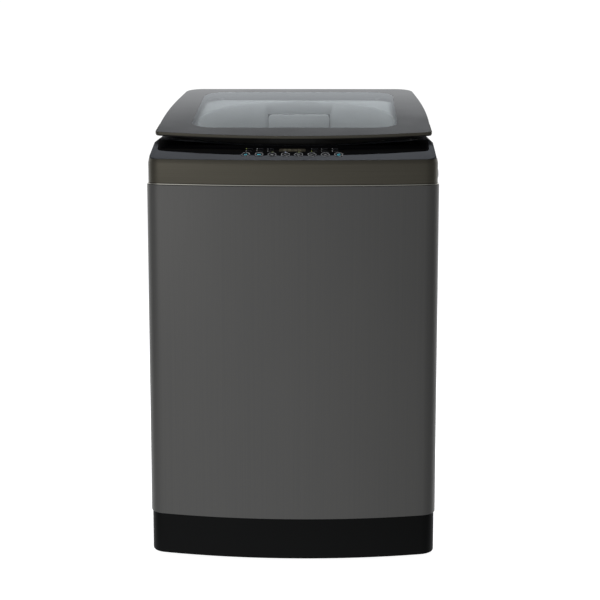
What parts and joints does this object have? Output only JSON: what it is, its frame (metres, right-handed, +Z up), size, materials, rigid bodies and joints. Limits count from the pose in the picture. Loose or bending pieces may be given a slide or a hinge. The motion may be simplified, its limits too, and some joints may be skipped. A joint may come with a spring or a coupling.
{
  "type": "top load washing machine",
  "caption": "Bow-fronted top load washing machine with a sloping glass lid, control ramp, suspended tub, perforated drum, pulsator and belt drive.",
  "frame": {"origin": "under the middle of the overall box, on the floor", "axes": "+Z up, -Y is the front with the controls, +X to the right as seen from the front"},
  "size_m": [0.63, 0.66, 1.0191],
  "materials": {
    "cabinet_paint": "dark grey metallic coated steel, fine vertical grain",
    "bronze_trim": "brushed dark bronze",
    "bright_strip": "polished",
    "black_plastic": "fine moulded texture",
    "panel_gloss": "piano black",
    "cover_plastic": "satin grey",
    "inner_plastic": "light grey moulded",
    "lid_glass": "tempered, printed dark border",
    "drum_steel": "perforated stainless",
    "steel_parts": "plain steel",
    "cast_alloy": "cast",
    "galvanised_cover": "coated sheet",
    "black_rubber": "matte",
    "circuit_board": "coated board"
  },
  "bodies": {
    "root": {"base_skirt": "black_plastic", "cabinet": "cabinet_paint", "back_cover": "galvanised_cover", "cord_gland": "black_rubber", "top_cover": "cover_plastic", "well_liner": "inner_plastic", "trim_band": "bronze_trim", "chrome_strip": "bright_strip", "control_panel": "panel_gloss", "control_board": "circuit_board", "lid_lock": "inner_plastic", "inlet_valve": "inner_plastic", "drawer_housing": "inner_plastic", "hinge_bracket_left": "cast_alloy", "hinge_bracket_right": "cast_alloy", "suspension_rod_front_left": "steel_parts", "suspension_rod_front_right": "steel_parts", "suspension_rod_rear_left": "steel_parts", "suspension_rod_rear_right": "steel_parts", "drain_pump": "inner_plastic", "drain_outlet": "black_rubber", "sump_bellows": "black_rubber"},
    "lid": {"lid_frame": "black_plastic", "lid_glass": "lid_glass", "lid_trim": "bronze_trim", "hinge_pin_left": "steel_parts", "hinge_pin_right": "steel_parts"},
    "detergent_drawer": {"detergent_drawer": "inner_plastic"},
    "lid_lock_bolt": {"lid_lock_bolt": "steel_parts"},
    "tub": {"outer_tub": "inner_plastic", "tub_ring": "inner_plastic", "bearing_housing": "cast_alloy", "motor": "cast_alloy", "drive_belt": "black_rubber", "suspension_spring_front_left": "steel_parts", "suspension_spring_front_right": "steel_parts", "suspension_spring_rear_left": "steel_parts", "suspension_spring_rear_right": "steel_parts"},
    "drum": {"drum_basket": "drum_steel", "balance_ring": "inner_plastic", "drum_hub": "cast_alloy", "lint_filter_left": "inner_plastic", "lint_filter_right": "inner_plastic"},
    "pulsator": {"pulsator": "inner_plastic", "pulsator_cap": "bright_strip", "drive_shaft": "steel_parts", "main_pulley": "cast_alloy"},
    "motor_rotor": {"motor_pulley": "cast_alloy"},
    "button_power": {"button_power": "panel_gloss"},
    "button_start": {"button_start": "panel_gloss"},
    "button_program": {"button_program": "panel_gloss"},
    "button_water_level": {"button_water_level": "panel_gloss"},
    "button_wash": {"button_wash": "panel_gloss"},
    "button_rinse": {"button_rinse": "panel_gloss"},
    "button_spin": {"button_spin": "panel_gloss"},
    "button_delay": {"button_delay": "panel_gloss"},
    "foot_front_left": {"foot_front_left": "black_rubber"},
    "foot_front_right": {"foot_front_right": "black_rubber"},
    "foot_rear_left": {"foot_rear_left": "black_rubber"},
    "foot_rear_right": {"foot_rear_right": "black_rubber"}
  },
  "joints": [
    {"name": "lid_hinge", "type": "hinge", "parent": "root", "child": "lid", "pos_m": [0, 0.27081, 1.00057], "axis": [-1, 0, 0], "range_deg": [0, 105]},
    {"name": "button_power_press", "type": "slide", "parent": "root", "child": "button_power", "axis": [0.0332, 0.3766, -0.9258], "range_m": [0, 0.0015], "stiffness_N_per_m": 800},
    {"name": "button_start_press", "type": "slide", "parent": "root", "child": "button_start", "axis": [0.0237, 0.3773, -0.9258], "range_m": [0, 0.0015], "stiffness_N_per_m": 800},
    {"name": "button_program_press", "type": "slide", "parent": "root", "child": "button_program", "axis": [0.0142, 0.3778, -0.9258], "range_m": [0, 0.0015], "stiffness_N_per_m": 800},
    {"name": "button_water_level_press", "type": "slide", "parent": "root", "child": "button_water_level", "axis": [0.0047, 0.378, -0.9258], "range_m": [0, 0.0015], "stiffness_N_per_m": 800},
    {"name": "button_wash_press", "type": "slide", "parent": "root", "child": "button_wash", "axis": [-0.0047, 0.378, -0.9258], "range_m": [0, 0.0015], "stiffness_N_per_m": 800},
    {"name": "button_rinse_press", "type": "slide", "parent": "root", "child": "button_rinse", "axis": [-0.0142, 0.3778, -0.9258], "range_m": [0, 0.0015], "stiffness_N_per_m": 800},
    {"name": "button_spin_press", "type": "slide", "parent": "root", "child": "button_spin", "axis": [-0.0237, 0.3773, -0.9258], "range_m": [0, 0.0015], "stiffness_N_per_m": 800},
    {"name": "button_delay_press", "type": "slide", "parent": "root", "child": "button_delay", "axis": [-0.0332, 0.3766, -0.9258], "range_m": [0, 0.0015], "stiffness_N_per_m": 800},
    {"name": "drawer_slide", "type": "slide", "parent": "root", "child": "detergent_drawer", "axis": [0, -1, 0], "range_m": [0, 0.06]},
    {"name": "lid_bolt_slide", "type": "slide", "parent": "root", "child": "lid_lock_bolt", "axis": [0, 0, 1], "range_m": [0, 0.008]},
    {"name": "tub_bounce", "type": "slide", "parent": "root", "child": "tub", "axis": [0, 0, 1], "range_m": [-0.008, 0.008], "stiffness_N_per_m": 60000, "deforming": ["suspension_spring_front_left", "suspension_spring_front_right", "suspension_spring_rear_left", "suspension_spring_rear_right", "sump_bellows"]},
    {"name": "drum_spin", "type": "hinge", "parent": "tub", "child": "drum", "pos_m": [0, 0.008, 0.3], "axis": [0, 0, 1], "continuous": true},
    {"name": "pulsator_spin", "type": "hinge", "parent": "tub", "child": "pulsator", "pos_m": [0, 0.008, 0.3], "axis": [0, 0, 1], "continuous": true},
    {"name": "motor_spin", "type": "hinge", "parent": "tub", "child": "motor_rotor", "pos_m": [0.15, 0.03, 0.2], "axis": [0, 0, 1], "continuous": true},
    {"name": "foot_front_left_level", "type": "slide", "parent": "root", "child": "foot_front_left", "axis": [0, 0, -1], "range_m": [0, 0.01]},
    {"name": "foot_front_right_level", "type": "slide", "parent": "root", "child": "foot_front_right", "axis": [0, 0, -1], "range_m": [0, 0.01]},
    {"name": "foot_rear_left_level", "type": "slide", "parent": "root", "child": "foot_rear_left", "axis": [0, 0, -1], "range_m": [0, 0.01]},
    {"name": "foot_rear_right_level", "type": "slide", "parent": "root", "child": "foot_rear_right", "axis": [0, 0, -1], "range_m": [0, 0.01]}
  ],
  "couplings": [
    {"joint": "motor_spin", "follows": "pulsator_spin", "ratio": 5.375}
  ]
}
